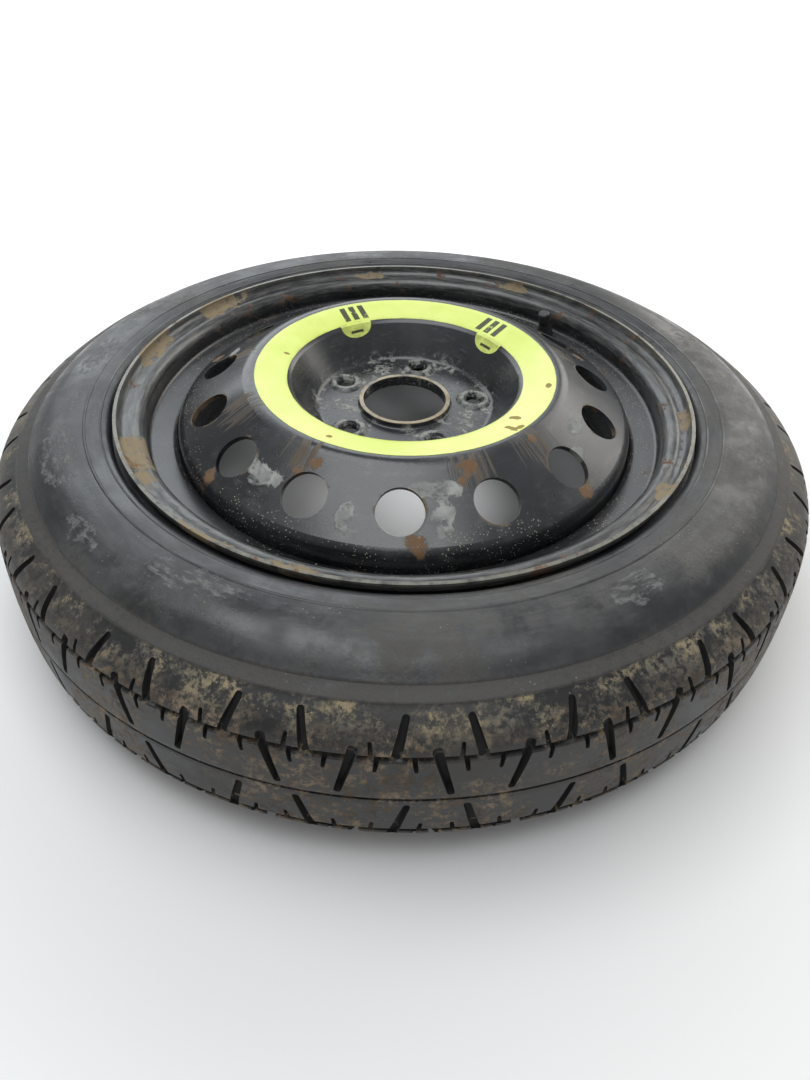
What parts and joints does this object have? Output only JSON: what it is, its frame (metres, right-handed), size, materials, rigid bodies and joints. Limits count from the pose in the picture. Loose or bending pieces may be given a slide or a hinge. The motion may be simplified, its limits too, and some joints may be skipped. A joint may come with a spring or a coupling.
{
  "type": "spare wheel",
  "caption": "Narrow temporary spare wheel: tyre with slotted tread on a black pressed-steel wheel with round vent holes, conical nut seats, a hub bore and a lime ring label.",
  "frame": {"origin": "where the axle line meets the hub mounting face", "axes": "+Z is the axle line, pointing outboard and up as the wheel lies; +X passes to the right of the picture"},
  "size_m": [0.606, 0.606, 0.135],
  "materials": {
    "tread_rubber": "dusty matt rubber with pale scuffs and ochre mud",
    "black_paint": "semi-gloss black paint with rust stains and worn edges",
    "weld": "painted weld with rust",
    "lime_film": "satin lime film with small scratches",
    "black_rubber": "matt",
    "brass": "dull",
    "spring_steel": "bright",
    "black_plastic": "satin"
  },
  "bodies": {
    "wheel": {"tyre": "tread_rubber", "rim": "black_paint", "wheel_disc": "black_paint", "weld_beads": "weld", "speed_label": "lime_film", "valve_rubber": "black_rubber", "valve_stem": "brass", "valve_core_seal": "black_rubber", "valve_core_barrel": "brass", "valve_spring": "spring_steel"},
    "pin": {"valve_pin": "brass", "valve_cup_seal": "black_rubber"},
    "cap": {"valve_cap": "black_plastic", "valve_cap_seal": "black_rubber"}
  },
  "joints": [
    {"name": "valve_cap_lift", "type": "slide", "parent": "wheel", "child": "cap", "axis": [-0.1909, -0.1909, 0.9629], "range_m": [0, 0.03]},
    {"name": "valve_pin_press", "type": "slide", "parent": "wheel", "child": "pin", "axis": [-0.1909, -0.1909, 0.9629], "range_m": [-0.0015, 0], "stiffness_N_per_m": 900, "springref_m": 0.002, "deforming": ["valve_spring"]}
  ]
}
